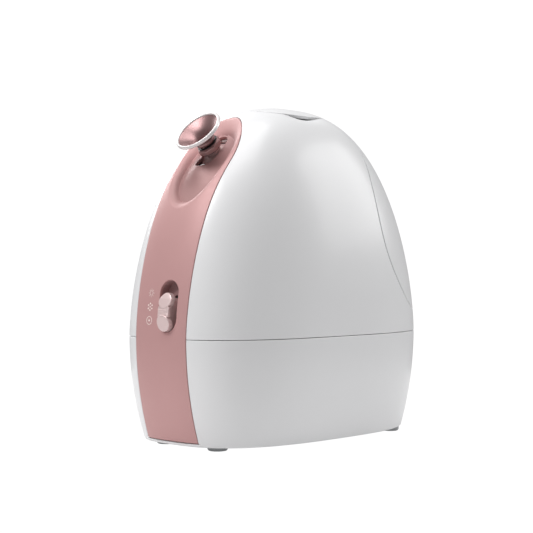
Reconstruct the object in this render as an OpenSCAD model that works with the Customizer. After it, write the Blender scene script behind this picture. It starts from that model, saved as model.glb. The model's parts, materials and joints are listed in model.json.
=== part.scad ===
// Facial steamer: a domed two-part housing with a rose front strip, a tilting steam
// nozzle, a three-way mode slider and a lift-off water tank behind an S-shaped seam.
// Millimetres, +Z up, the front strip faces -Y, the origin is under the middle of the feet.

/* [Body] */
// Height of the whole steamer, feet included
body_h = 240; // [236:1:244]
// Width across the two sides
body_w = 140; // [138:1:143]
// Depth from the front strip to the back
body_d = 234; // [232:1:238]
// Height of the parting line between base and upper housing
part_z = 76; // [75:1:78]
// Thickness of the housing walls
wall = 2.4; // [2:0.1:2.8]
// How far the feet stand out below the base
foot_h = 3; // [2.5:0.5:3.5]
// Radius of a foot
foot_r = 7; // [6:0.5:8]

/* [Front strip] */
// Width of the rose strip at the base
strip_w = 51; // [49:1:53]
// Thickness of the strip
strip_t = 2; // [1.8:0.1:2.2]
// Height at which the strip starts to round off
arch_z = 198; // [196:1:200]
// Height of the rounded end
arch_h = 33; // [32:1:34]

/* [Nozzle] */
// Height of the tilt pivot
pivot_z = 192.6; // [192:0.2:193]
// Distance of the tilt pivot in front of the middle
pivot_y = 50.9; // [50.5:0.1:51.3]
// Angle of the nozzle above the horizontal at rest
nozzle_aim = 42; // [40:1:44]
// Outer radius of the dish
dish_r = 17.5; // [16.5:0.5:18]

/* [Mode switch] */
// Sideways place of the switch
switch_x = 8; // [7:0.5:8.5]
// Height of the middle of the switch slot
switch_z = 98; // [97.5:0.5:98.5]
// Length of the slot
slot_len = 35; // [34:1:36]
// Travel of the slider
slide_travel = 8; // [7:0.5:8]

/* [Water tank] */
// Height of the tank's floor
tank_z = 98; // [98:0.5:99]
// Radius of the tank's neck
neck_r = 15; // [14:0.5:15.5]

/* [Hidden] */
$fn = 64;

white = "white";
rose = "rosybrown";

// Shape of the dome: plan squareness, side squareness and how the levels close in
plan_n = 2.85;
dome_p = 1.67;
dome_q = 2.56;
crown = 0.11;
tuck = 0.1;
// The front is a little flatter round the nozzle
brow = 0.045;
brow_level = 0.62;
brow_span = 0.13;
strip_flare = 1.2;
strip_gap = 0.25;
ledge_w = 2.8;
ledge_in = strip_t + 0.5;
ledge_back = ledge_in + wall;
lip_level = -0.965;
cover_gap = 0.5;
joggle = 3.5;

// Oval recess round the nozzle
recess_w = 21;
recess_z = 199;
recess_down = 32;
recess_up = 28;
recess_shallow = 2.5;
recess_deep = 7;
recess_edge = 0.16;

// Seam of the tank cover on the right-hand side, as [bearing from the front, level]
seam_points = [[0, 0.875], [17, 0.8725], [34, 0.855], [48, 0.843], [65, 0.835], [84, 0.832],
    [103, 0.833], [119, 0.835], [129.5, 0.815], [132, 0.75], [129.5, 0.67], [124, 0.59],
    [119.8, 0.52], [117.2, 0.45], [115.8, 0.38], [115.7, 0.32], [116.8, 0.27],
    [119.2, 0.22], [123, 0.17], [128.4, 0.122], [136, 0.094], [150, 0.086], [165, 0.084],
    [180, 0.084]];
seam_corner = 8;
seam_tail = 20;
seam_end = len(seam_points) - 1;
scoop_bearing = 90;
scoop_half = 24;
scoop_depth = 7.4;

// ---- the outer surface ----

function mix(a, b, t) = a + (b - a) * t;
function clamp(x) = min(max(x, 0), 1);
function ease(x) = let (c = clamp(x)) c * c * (3 - 2 * c);

// Level 0 is the parting line, 1 the top and -1 the underside
function level_scale(u) = u >= 0 ? pow(max(cos(90 * u), 0), 2 / dome_q) : 1 - tuck * u * u;
function level_z(u, d = 0) = u >= 0 ? part_z + (body_h - d - part_z) * pow(sin(90 * u), 2 / dome_p)
    : part_z + (part_z - foot_h) * u;
function level_at(z) = z >= part_z ? asin(pow((z - part_z) / (body_h - part_z), dome_p / 2)) / 90
    : (z - part_z) / (part_z - foot_h);
function half_w(u, d = 0) = (body_w / 2 - d) * (1 + crown * pow(max(u, 0), 2));
function brow_factor(a, u) = 1 - brow * pow(max(cos(a), 0), 2) * exp(-pow((u - brow_level) / brow_span, 2));
function plan_radius(a) = pow(pow(abs(sin(a)), plan_n) + pow(abs(cos(a)), plan_n), -1 / plan_n);
// A point at bearing a from the front and level u, d below the surface
function skin_point(a, u, d) = let (k = level_scale(u) * plan_radius(a))
    [half_w(u, d) * k * sin(a), -(body_d / 2 - d) * k * cos(a) * brow_factor(a, u), level_z(u, d)];
function bearing(x, u) = let (s = abs(x) / (half_w(u) * level_scale(u)))
    sign(x) * atan2(s, pow(1 - pow(s, plan_n), 1 / plan_n));
// A point of the front at sideways place x and height z, d below the surface
function front_point(x, z, d) = let (u = level_at(z)) skin_point(bearing(x, u), u, d);

// ---- outlines on the surface ----

function strip_half(z) = strip_w / 2 + strip_flare * clamp((z - part_z) / (arch_z - part_z));
// Edge of the strip by level below the arch, and by angle round the arch, m inside the edge
function edge_level(u, m) = [bearing(strip_half(level_z(u)) - m, u), u];
function edge_arch(angle, m) = let (u = level_at(arch_z + (arch_h - m) * sin(angle)))
    [bearing((strip_half(arch_z) - m) * cos(angle), u), u];

function seam_point(i) = i < 0 ? [-seam_points[-i][0], seam_points[-i][1]]
    : i > seam_end ? [360 - seam_points[2 * seam_end - i][0], seam_points[2 * seam_end - i][1]]
    : seam_points[i];
function seam(s) = let (i = min(floor(s), seam_end - 1), t = s - i,
    p0 = seam_point(i - 1), p1 = seam_point(i), p2 = seam_point(i + 1), p3 = seam_point(i + 2))
    0.5 * (2 * p1 + (p2 - p0) * t + (2 * p0 - 5 * p1 + 4 * p2 - p3) * t * t
        + (3 * p1 - p0 - 3 * p2 + p3) * t * t * t);

// ---- a closed skin from a grid of outer and inner points ----

// cell(j, i) says that the cell above row j and right of column i is there. joined(j, i, side)
// says that a free side (0 below, 1 right, 2 above, 3 left) meets its own mirror image.
module skin(outer, inner, cell, joined, both = true) {
    rows = len(outer);
    cols = len(outer[0]);
    n = rows * cols;
    points = [for (layer = [outer, inner]) for (row = layer) for (p = row) p];
    function id(j, i) = j * cols + i;
    function there(j, i) = j >= 0 && i >= 0 && j < rows - 1 && i < cols - 1 && cell(j, i);
    function quad(a, b, c, d) = [for (t = [[a, b, c], [a, c, d]])
        if (norm(points[t[0]] - points[t[1]]) > 1e-5 && norm(points[t[1]] - points[t[2]]) > 1e-5
            && norm(points[t[2]] - points[t[0]]) > 1e-5) t];
    sides = [[-1, 0, 0, 0, 0, 1], [0, 1, 0, 1, 1, 1], [1, 0, 1, 1, 1, 0], [0, -1, 1, 0, 0, 0]];
    faces = [for (j = [0 : rows - 2]) for (i = [0 : cols - 2]) if (there(j, i)) each concat(
        quad(id(j, i), id(j + 1, i), id(j + 1, i + 1), id(j, i + 1)),
        quad(n + id(j, i), n + id(j, i + 1), n + id(j + 1, i + 1), n + id(j + 1, i)),
        [for (k = [0 : 3]) let (s = sides[k]) if (!there(j + s[0], i + s[1]) && !joined(j, i, k))
            each let (a = id(j + s[2], i + s[3]), b = id(j + s[4], i + s[5])) quad(a, b, n + b, n + a)])];
    if (both) {
        mirrored = [for (p = points) [-p[0], p[1], p[2]]];
        flipped = [for (f = faces) [f[0] + 2 * n, f[2] + 2 * n, f[1] + 2 * n]];
        polyhedron(concat(points, mirrored), concat(faces, flipped), convexity = 8);
    } else polyhedron(points, faces, convexity = 8);
}

// ---- housings ----

// Rows of the upper housing: two under the seam's tail, then up the strip, its arch, the bridge
tail_rows = 2;
edge_levels = [0, 0.047, 0.094, 0.16, 0.23, 0.3, 0.37, 0.44, 0.51, 0.571];
arch_angles = [15, 30, 45, 60, 75, 90];
arch_row = len(edge_levels) + len(arch_angles) - 1;
last_row = arch_row + 2;
ledge_cols = 3;
main_cols = 16;
tail_cols = 7;

function housing_left(j, m) = j < len(edge_levels) ? edge_level(edge_levels[j], m)
    : j <= arch_row ? edge_arch(arch_angles[j - len(edge_levels)], m)
    : [0, mix(edge_arch(90, m)[1], seam_points[0][1], (j - arch_row) / 2)];
function seam_row(j) = mix(seam_tail, seam_corner, (j - tail_rows) / (last_row - tail_rows));
function housing_right(j) = j >= tail_rows ? seam(seam_row(j))
    : [seam_points[seam_tail][0], seam_points[seam_tail][1] * j / tail_rows];
// Dip of the housing beside the cover's edge, to get a finger under the cover
function scoop(j, i) = j < last_row - 2 || i < ledge_cols || i > ledge_cols + main_cols ? 0
    : scoop_depth * [0.06, 0.4, 1][j - last_row + 2]
        * max(0, 1 - pow((housing_at(j, i)[0] - scoop_bearing) / scoop_half, 4));
function top_bulge(a) = seam(seam_corner * a) - mix(seam_points[0], seam_points[seam_corner], a);
function housing_main(j, a) = mix(housing_left(j, -joggle), housing_right(j), a)
    + ease((j - 9) / (last_row - 9)) * top_bulge(a);
function housing_at(j, i) =
    i <= ledge_cols ? housing_left(j, [ledge_w, 0, 0, -joggle][i])
    : i <= ledge_cols + main_cols ? housing_main(j, (i - ledge_cols) / main_cols)
    : let (p = seam(mix(seam_tail, seam_end, (i - ledge_cols - main_cols) / tail_cols)))
        [p[0], p[1] * min(j, tail_rows) / tail_rows];

module upper_housing() {
    cols = ledge_cols + main_cols + tail_cols;
    outer = [for (j = [0 : last_row]) [for (i = [0 : cols]) let (p = housing_at(j, i))
        skin_point(p[0], p[1], i < 2 ? ledge_in : scoop(j, i))]];
    inner = [for (j = [0 : last_row]) [for (i = [0 : cols])
        let (p = i == 2 ? housing_left(j, -joggle / 2) : housing_at(j, i))
        skin_point(p[0], p[1], i <= 2 ? ledge_back : wall + scoop(j, i))]];
    color(white) skin(outer, inner,
        function (j, i) i < ledge_cols ? j < arch_row : i < ledge_cols + main_cols || j < tail_rows,
        function (j, i, k) (k == 1 && i == cols - 1) || (k == 2 && j == arch_row - 1 && i < ledge_cols)
            || (k == 3 && j >= arch_row && i == ledge_cols));
}

base_levels = [-1, lip_level, lip_level, -0.84, -0.68, -0.5, -0.32, -0.15, 0];
base_cols = 16;
module base_housing() {
    cols = 4 + base_cols;
    function at(j, i) = let (u = base_levels[j])
        i <= 2 ? [edge_level(u, 0)[0] * i / 2, u] : i == 3 ? edge_level(u, 0)
        : [mix(edge_level(u, -joggle)[0], 180, (i - 4) / base_cols), u];
    outer = [for (j = [0 : 8]) [for (i = [0 : cols]) let (p = at(j, i))
        skin_point(p[0], p[1], i <= 2 && j > 1 ? ledge_in : 0)]];
    inner = [for (j = [0 : 8]) [for (i = [0 : cols])
        let (p = i == 3 ? edge_level(base_levels[j], -joggle / 2) : at(j, i))
        skin_point(p[0], p[1], i <= 3 ? ledge_back : wall)]];
    color(white) skin(outer, inner, function (j, i) !(j == 3 && i == cols - 1),
        function (j, i, k) (k == 1 && i == cols - 1) || (k == 3 && i == 0));
}

// The cover: rows up the S-shaped part, then rows that close over the top
cover_rows = last_row - tail_rows;
cap_rows = 6;
cap_cols = 12;
function cover_at(j, i) =
    j <= cover_rows && i >= cap_cols ? let (a = (i - cap_cols) / tail_cols,
        s = seam_row(j + tail_rows), tail = seam(mix(seam_tail, seam_end, a)),
        rear = [180, mix(seam_points[seam_end][1], seam_points[seam_corner][1], j / cover_rows)])
        mix(seam(s), rear, a) + (1 - ease(j / 6))
            * (tail - mix(seam_points[seam_tail], seam_points[seam_end], a))
    : j <= cover_rows ? seam(seam_corner * i / cap_cols)
    : let (p = cover_at(cover_rows, i)) [p[0], mix(p[1], 1, (j - cover_rows) / cap_rows)];
function toward(p, q, g) = norm(q - p) < 1e-6 ? p : p + (q - p) * g / norm(q - p);

module tank_cover() {
    rows = cover_rows + cap_rows;
    cols = cap_cols + tail_cols;
    function layer(d) = let (g = [for (j = [0 : rows]) [for (i = [0 : cols])
        let (p = cover_at(j, i)) skin_point(p[0], p[1], d)]])
        [for (j = [0 : rows]) [for (i = [0 : cols])
            j == 0 && i >= cap_cols ? toward(g[j][i], g[1][i], cover_gap)
            : j <= cover_rows && i == cap_cols ? toward(g[j][i], g[j][i + 1], cover_gap)
            : j == cover_rows && i < cap_cols ? toward(g[j][i], g[j + 1][i], cover_gap) : g[j][i]]];
    color(white) skin(layer(0), layer(wall), function (j, i) j >= cover_rows || i >= cap_cols,
        function (j, i, k) (k == 1 && i == cols - 1) || (k == 3 && i == 0) || (k == 2 && j == rows - 1));
}

// ---- front strip ----

strip_cols = [-1, -0.87, -0.74, -0.57, -0.41, -0.25, -0.1, 0.15, 0.41, 0.57, 0.74, 0.87, 1];
strip_heights = [5.8, 22, 38, 54, 68, 78.5, 92, 104.5, 117.5, 129, 141, 153, 162, 168, 174, 180, 187,
    194, 198];
strip_angles = [14, 27, 36, 45];
strip_last = len(strip_heights) + len(strip_angles) - 1;
function recess(x, z) = let (r = norm([x / recess_w,
    (z - recess_z) / (z < recess_z ? recess_down : recess_up)]))
    mix(recess_shallow, recess_deep, clamp((z - recess_z + recess_down) / (recess_down + recess_up)))
        * ease((1 - r) / recess_edge);
// Sideways place and height of a grid point: upright lines that gather into the arch
function strip_at(j, f) = let (w = strip_half(arch_z) - strip_gap, h = arch_h - strip_gap,
    angle = j < len(strip_heights) ? 0 : strip_angles[j - len(strip_heights)],
    z = j < len(strip_heights) ? strip_heights[j] : arch_z + h * sin(angle),
    x = f * (j < len(strip_heights) ? strip_half(z) - strip_gap : w * cos(angle)),
    rise = h * (sqrt(1 - pow(f * cos(45), 2)) - sin(45)))
    [x, z + ease((j - 14) / (strip_last - 14)) * rise];

module front_panel() {
    function layer(d) = [for (j = [0 : strip_last]) [for (f = strip_cols)
        let (p = strip_at(j, f)) front_point(p[0], p[1], d + recess(p[0], p[1]))]];
    color(rose) skin(layer(0), layer(strip_t),
        function (j, i) !(i >= 6 && i <= 9 && j >= 5 && j <= 7) && !(i >= 4 && i <= 7 && j >= 17 && j <= 19),
        function (j, i, k) false, both = false);
}

// ---- helpers for the exact parts ----

// Level outline of the body as a flat shape, inset sideways and lengthways
module outline(u, dx, dy) polygon([for (a = [0 : 7.5 : 352.5]) let (k = plan_radius(a) * level_scale(u))
    [(half_w(u) - dx * (1 + crown)) * k * sin(a), -(body_d / 2 - dy) * k * cos(a)]]);
module ring(r_out, r_in, h) difference() {
    cylinder(r = r_out, h = h);
    translate([0, 0, -1]) cylinder(r = r_in, h = h + 2);
}
module box(low, high) translate(low) cube(high - low);
module stadium(w, l) {
    square([w, l - w], center = true);
    for (k = [-1, 1]) translate([0, k * (l - w) / 2]) circle(d = w);
}

// Smooth route through hand-placed points, with a number of steps between neighbours
function route(points, steps) = let (n = len(points) - 1) concat(
    [for (i = [0 : n - 1]) let (p1 = points[i], p2 = points[i + 1],
        p0 = i > 0 ? points[i - 1] : 2 * p1 - p2, p3 = i < n - 1 ? points[i + 2] : 2 * p2 - p1)
        for (k = [0 : steps - 1]) let (t = k / steps)
            0.5 * (2 * p1 + (p2 - p0) * t + (2 * p0 - 5 * p1 + 4 * p2 - p3) * t * t
                + (3 * p1 - p0 - 3 * p2 + p3) * t * t * t)], [points[n]]);
// A round tube of radius r swept along a path, flat at both ends
module tube(path, r, sides, side_axis) {
    n = len(path) - 1;
    points = [for (i = [0 : n]) let (d = path[min(i + 1, n)] - path[max(i - 1, 0)], t = d / norm(d),
        c = cross(t, side_axis), a = c / norm(c), b = cross(t, a))
        for (k = [0 : sides - 1]) path[i] + r * (a * cos(360 * k / sides) + b * sin(360 * k / sides))];
    polyhedron(points, concat([[for (k = [sides - 1 : -1 : 0]) k]],
        [for (i = [0 : n - 1]) for (k = [0 : sides - 1])
            let (a = i * sides + k, b = i * sides + (k + 1) % sides)
                each [[a, b + sides, a + sides], [a, b, b + sides]]],
        [[for (k = [0 : sides - 1]) n * sides + k]]), convexity = 6);
}

// ---- base ----

foot_places = [[26, -86], [-26, -86], [43, 78], [-43, 78]];
post_places = [[42, -62], [-42, -62], [42, 62], [-42, 62]];
plate_t = 2.5;
deck_z = part_z - 2.5;
deck_t = 2;
deck_top = deck_z + deck_t;
screw_r = 1.5;
head_r = 3;
post_r = 4;
fan_y = -10;
fan_r = 22;
fan_z = 9;
fan_h = 15;
shaft_r = 1.5;
fit = 0.05;

module base_plate() color(white) difference() {
    translate([0, 0, foot_h]) linear_extrude(plate_t) outline(-1, 3.2, 5.4);
    for (p = post_places) translate([p[0], p[1], foot_h - 1]) {
        cylinder(r = screw_r + 0.3, h = plate_t + 2);
        cylinder(r = head_r + 0.2, h = 2.4);
    }
    for (k = [-3 : 3]) box([-16, fan_y + 6 * k - 1.5, foot_h - 1], [16, fan_y + 6 * k + 1.5, foot_h + 4]);
}
module feet() color("gray") for (p = foot_places) translate([p[0], p[1], 0])
    cylinder(r1 = foot_r - 0.6, r2 = foot_r, h = foot_h);
module base_screws() color("silver") for (p = post_places)
    translate([p[0], p[1], foot_h + 0.1]) difference() {
    union() {
        cylinder(r = head_r, h = 1.2);
        cylinder(r = screw_r - fit, h = 16);
    }
    translate([-2, -0.35, -1]) cube([4, 0.7, 1.5]);
    translate([-0.35, -2, -1]) cube([0.7, 4, 1.5]);
}
module mid_deck() color("gainsboro") difference() {
    union() {
        translate([0, 0, deck_z]) linear_extrude(deck_t) outline(0, 3.6, 5.6);
        for (p = post_places) translate([p[0], p[1], foot_h + plate_t + 0.1])
            cylinder(r = post_r, h = deck_z - foot_h - plate_t);
    }
    for (p = post_places) translate([p[0], p[1], foot_h]) cylinder(r = screw_r, h = 20);
    for (x = [-50, 50]) translate([x, -40, deck_z - 1]) cylinder(r = 5, h = 4);
}
module fan_frame() color("dimgray") translate([0, fan_y, fan_z]) difference() {
    union() {
        difference() {
            translate([-25, -25, 0]) cube([50, 50, fan_h]);
            translate([0, 0, -1]) cylinder(r = fan_r, h = fan_h + 2);
        }
        cylinder(r = 7, h = 2);
        for (a = [0 : 90 : 270]) rotate(a + 45) translate([6, -1, 0]) cube([fan_r - 5, 2, 2]);
    }
    translate([0, 0, -1]) cylinder(r = shaft_r + fit, h = 4);
    for (a = [0 : 90 : 270]) rotate(a) translate([21.5, 21.5, -1]) cylinder(r = 1.6, h = fan_h + 2);
}
module fan_rotor() color("black") translate([0, fan_y, fan_z]) {
    cylinder(r = shaft_r, h = 3);
    translate([0, 0, 3]) cylinder(r = 8, h = 10);
    for (k = [0 : 6]) rotate(k * 360 / 7) translate([7.5, 0, 8]) rotate([38, 0, 0])
        translate([0, -5.5, -0.6]) cube([fan_r - 9, 11, 1.2]);
}
module main_board() color("seagreen") {
    box([-32, -92, 30], [32, -44, 31.6]);
    box([-20, -80, 31.6], [-4, -66, 35]);
    box([6, -84, 31.6], [12, -58, 40]);
    for (x = [-24, 22]) translate([x, -54, 31.6]) cylinder(r = 4, h = 12);
}
module power_module() color("seagreen") {
    box([-32, 40, 8], [32, 92, 9.6]);
    box([-24, 48, 9.6], [2, 74, 33]);
    for (y = [50, 66]) translate([16, y, 9.6]) cylinder(r = 6, h = 22);
    box([8, 78, 9.6], [24, 88, 20]);
}
inlet_z = (level_z(base_levels[3]) + level_z(base_levels[4])) / 2;
inlet_back = 104.6;
inlet_front = 108.8;
pin_gap = 4.3;
module power_inlet() color("black") difference() {
    union() {
        box([-14, inlet_back - 10, inlet_z - 9], [14, inlet_back, inlet_z + 9]);
        box([-10.4, inlet_back, inlet_z - 5], [10.4, inlet_front, inlet_z + 5]);
    }
    translate([0, inlet_front + 1, inlet_z]) rotate([90, 0, 0]) linear_extrude(8) {
        for (k = [-1, 1]) translate([k * pin_gap, 0]) circle(r = 4.2);
        square([2 * pin_gap, 7.2], center = true);
    }
}
module inlet_pins() color("silver") for (k = [-1, 1]) translate([k * pin_gap, inlet_front - 7, inlet_z])
    rotate([-90, 0, 0]) cylinder(r = 1.2, h = 6);
lead_route = [[20, 39.6, 30], [26, 33, 31], [32, 18, 32], [33, -8, 33], [30, -30, 33], [25, -43.2, 31]];
module inner_lead() color("red") tube(route(lead_route, 3), 1.6, 8, [0, 0, 1]);

// ---- wet half: seat, bay, boiler, mist chamber, hoses ----

neck_y = 78;
seat_t = 2;
collar_top = tank_z - 1.5;
valve_r = 2;
spring_low = 83.6;
bar_z = 90.5;

module tank_seat() color("gainsboro") {
    translate([0, 0, deck_top]) linear_extrude(seat_t) intersection() {
        outline(0, 4, 4);
        translate([-80, 47]) square([160, 80]);
    }
    translate([0, neck_y, deck_top + seat_t]) {
        ring(neck_r + 5.2, neck_r + 3.2, collar_top - deck_top - seat_t);
        cylinder(r = 2.4, h = 1);
    }
}
module seat_gasket() color("gray") translate([0, neck_y, collar_top])
    ring(neck_r + 5.2, neck_r + 3.2, tank_z - collar_top);
bay_clear = 4;
// Half-width of the inside at the bay wall, at a height
function bay_half(z) = let (u = level_at(z + bay_clear), s = level_scale(u))
    (half_w(u) - 3.8) * s * pow(1 - pow(46 / ((body_d / 2 - 3.8) * s), plan_n), 1 / plan_n);
bay_top = 217.5;
bay_steps = 14;
module bay_wall() color("whitesmoke") translate([0, 46, 0]) rotate([90, 0, 0]) linear_extrude(2)
    difference() {
        polygon([for (side = [1, -1]) for (k = [0 : bay_steps])
            let (z = mix(deck_top, bay_top, (side > 0 ? k : bay_steps - k) / bay_steps))
                [side * bay_half(z), z]]);
        translate([0, feed_z]) circle(r = feed_r + 0.4);
    }
module bay_deck() color("whitesmoke") translate([0, 0, bay_top]) linear_extrude(2) intersection() {
    outline(level_at(bay_top + 2), 5, 5);
    translate([-28, -30]) square([56, 76]);
}

boiler_at = [-24, -36];
boiler_r = 18;
boiler_z = 84;
boiler_h = 36;
module boiler() color("silver") translate([boiler_at[0], boiler_at[1], 0]) {
    translate([0, 0, boiler_z]) difference() {
        cylinder(r = boiler_r, h = boiler_h);
        translate([0, 0, 2]) cylinder(r = boiler_r - 2, h = boiler_h);
    }
    for (a = [0 : 120 : 240]) rotate(a) translate([boiler_r - 3, 0, deck_top])
        cylinder(r = 2, h = boiler_z - deck_top + 1);
}
module boiler_lid() color("whitesmoke") translate([boiler_at[0], boiler_at[1], boiler_z + boiler_h])
    difference() {
        union() {
            cylinder(r = boiler_r, h = 3);
            cylinder(r = hose_r, h = stub_top - boiler_z - boiler_h);
        }
        translate([0, 0, -1]) cylinder(r = 2.6, h = 14);
    }
module heater_plate() color("sandybrown") translate([boiler_at[0], boiler_at[1], boiler_z - 4])
    cylinder(r = 12, h = 4);
module thermostat() color("black") translate([boiler_at[0] - boiler_r - 0.1, boiler_at[1], boiler_z + 18])
    rotate([0, -90, 0]) cylinder(r = 6, h = 6);
chamber_at = [24, -36];
module mist_chamber() color("whitesmoke") translate([chamber_at[0], chamber_at[1], deck_top]) difference() {
    union() {
        cylinder(r = 16, h = 40);
        cylinder(r = hose_r, h = stub_top - deck_top);
    }
    translate([0, 0, 6]) cylinder(r = 14, h = 32);
    translate([0, 0, -1]) cylinder(r = 9, h = 8);
    translate([0, 0, 30]) cylinder(r = 2.6, h = 30);
}
module ultrasonic_disc() color("silver") translate([chamber_at[0], chamber_at[1], deck_top + 3.5])
    cylinder(r = 8.95, h = 2);
hose_r = 4;
stub_end = 17;
stub_top = boiler_z + boiler_h + 12;
hose_gap = 0.6;
// Up from a stub beside the axis x, y, then round and into the tilt pin from the side
function to_turret(x, y) = [[x, y, stub_top + hose_gap], [x, y, stub_top + 10],
    [x - 5, y - 7, stub_top + 30], [x - 9, y - 12, stub_top + 46], [x - 7.5, -pivot_y, pivot_z - 4],
    [x - 1.5, -pivot_y, pivot_z], [-stub_end - hose_gap, -pivot_y, pivot_z]];
module steam_hose() color("lightgray")
    tube(route(to_turret(boiler_at[0], boiler_at[1]), 3), hose_r, 8, [0, 1, 0]);
module mist_hose() color("lightgray") mirror([1, 0, 0])
    tube(route(to_turret(-chamber_at[0], chamber_at[1]), 3), hose_r, 8, [0, 1, 0]);
feed_r = 3.5;
feed_z = 82.5;
feed_route = [[0, neck_y - neck_r - 5.4, feed_z], [0, 40, feed_z], [0, 16, feed_z],
    [-3, -4, 85], [-7.2, -13.6, 88], [-12.9, -21.2, 88]];
module feed_hose() color("lightgray") tube(route(feed_route, 3), feed_r, 8, [0, 0, 1]);

// ---- lift-off tank ----

tank_levels = [tank_z, 128, 156, 180, 200];
tank_front = 49.5;
module tank_block(inset, low, high) hull() for (z = tank_levels) let (c = clamp((z - tank_z) / 100),
    level = mix(low, high, c)) translate([0, 0, mix(z + low, z + high, c) + (z == tank_z ? 0 : -0.1)])
        linear_extrude(0.1) intersection() {
            outline(level_at(z + 2), inset, inset);
            translate([-80, tank_front + inset - 6]) square([160, 80]);
        }
module water_tank() color("azure", 0.6) difference() {
    union() {
        tank_block(6, 0, 0);
        translate([0, neck_y, tank_z - 5.8]) cylinder(r = neck_r, h = 7);
    }
    tank_block(8, 2, -2);
    translate([0, neck_y, tank_z - 7]) cylinder(r = neck_r - 2, h = 12);
}
cap_z = 80;
cap_r = neck_r + 2.2;
module tank_cap() color("lightsteelblue") translate([0, neck_y, cap_z]) difference() {
    union() {
        difference() {
            cylinder(r = cap_r, h = tank_z - cap_z - 1);
            translate([0, 0, 2]) cylinder(r = neck_r + fit, h = 30);
        }
        intersection() {
            translate([-cap_r, -2.5, bar_z - cap_z]) cube([2 * cap_r, 5, 1.2]);
            cylinder(r = cap_r - 1, h = 30);
        }
    }
    translate([0, 0, -1]) cylinder(r = valve_r + fit, h = 4);
    for (a = [0 : 60 : 300]) rotate(a) translate([9.5, 0, -1]) cylinder(r = 1.5, h = 4);
}
module cap_seal() color("gray") translate([0, neck_y, bar_z + 1.25]) ring(neck_r - 0.3, neck_r - 2, 0.4);
module valve_plunger() color("whitesmoke") translate([0, neck_y, 0]) {
    translate([0, 0, 78.8]) cylinder(r = valve_r, h = cap_z + 2.2 - 78.8);
    translate([0, 0, cap_z + 2.2]) cylinder(r = 7, h = spring_low - cap_z - 2.2);
}
module valve_spring() color("silver") translate([0, neck_y, 0])
    tube([for (k = [0 : 40]) [3.6 * cos(36 * k), 3.6 * sin(36 * k),
        mix(spring_low + 0.5, bar_z - 0.5, k / 40)]], 0.4, 6, [0, 0, 1]);

// ---- nozzle ----

turret_r = 19.2;
turret_half = 8.8;
trunnion_r = 2.5;
stem_r = 6;
spigot_r = 4;
stem_top = 25.5;
ear_in = 10;
ear_out = 12.6;
module at_nozzle() translate([0, -pivot_y, pivot_z]) rotate([90 - nozzle_aim, 0, 0]) children();
module across(r, x0, x1) translate([x0, 0, 0]) rotate([0, 90, 0]) cylinder(r = r, h = x1 - x0);

module nozzle_turret() color("mistyrose") at_nozzle() difference() {
    union() {
        difference() {
            intersection() {
                across(turret_r, -turret_half, turret_half);
                box([-turret_half, -13.6, 4], [turret_half, 13.6, 22]);
            }
            across(turret_r - 2, -turret_half - 1, turret_half + 1);
        }
        for (k = [-1, 1]) {
            across(4.5, k * 8 - 1, k * 8 + 1);
            box([k * 8 - 1, -4, 0], [k * 8 + 1, 4, turret_r - 1]);
            across(trunnion_r, min(k * 8, k * 13), max(k * 8, k * 13));
        }
        translate([0, 0, turret_r - 3]) cylinder(r = stem_r, h = stem_top - turret_r + 3);
    }
    translate([0, 0, 10]) cylinder(r = spigot_r + fit, h = 20);
    across(1.4, -20, 20);
}
module nozzle_collar() color(rose) at_nozzle() difference() {
    translate([0, 0, 22.6]) rotate(22.5) {
        cylinder(r = 8.8, h = 3.4, $fn = 8);
        translate([0, 0, 3.4]) cylinder(r1 = 8.8, r2 = 7.2, h = 1.2, $fn = 8);
    }
    translate([0, 0, 20]) cylinder(r = stem_r + 0.02, h = 10);
}
module nozzle_dish() color("pink") at_nozzle() rotate_extrude() polygon([[2.2, 15], [spigot_r, 15],
    [spigot_r, 27.6], [6.4, 28], [7.4, 29.6], [7.4, 31.2], [6.6, 32.8], [9.4, 34.2], [13.2, 35.8], [16.4, 38],
    [16.4, 39.3], [12.6, 37.4], [8.6, 36], [5, 35.2], [2.2, 34.8]]);
module dish_rim() color("silver") at_nozzle() translate([0, 0, 37.8]) rotate_extrude()
    polygon([[16.42, 0], [17.1, 0.1], [dish_r, 0.6], [dish_r, 1.7], [17.1, 2.1], [16.6, 2.1], [16.42, 1.8]]);
module turret_bracket() color("gainsboro") at_nozzle() difference() {
    union() for (k = [-1, 1]) {
        across(5, min(k * ear_in, k * ear_out), max(k * ear_in, k * ear_out));
        box([min(k * ear_in, k * ear_out), -5, 0], [max(k * ear_in, k * ear_out), 5, 13]);
        box([min(k * ear_in, k * 14), -22, 11], [max(k * ear_in, k * 14), 22, 13]);
        box([-14, min(k * 20.4, k * 22), 11], [14, max(k * 20.4, k * 22), 13]);
        across(hose_r, min(k * ear_out, k * stub_end), max(k * ear_out, k * stub_end));
    }
    across(trunnion_r + fit, -13.6, 13.6);
    across(1.4, -20, 20);
}

// ---- mode switch ----

knob_r = 5.5;
knob_gap = 7.75;
rest_shift = -(slot_len - 0.3) / 2 + knob_gap + knob_r;
function lean(x, z) = let (a = front_point(x, z - 4, 0), b = front_point(x, z + 4, 0)) atan2(b[1] - a[1], 8);
module on_strip(x, z) translate(front_point(x, z, 0)) rotate([-lean(x, z), 0, 0]) children();
// Flat shape in the strip's own plane, standing from one depth to another below the surface
module slab(from, to) translate([0, from, 0]) rotate([-90, 0, 0]) linear_extrude(to - from) children();

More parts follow.
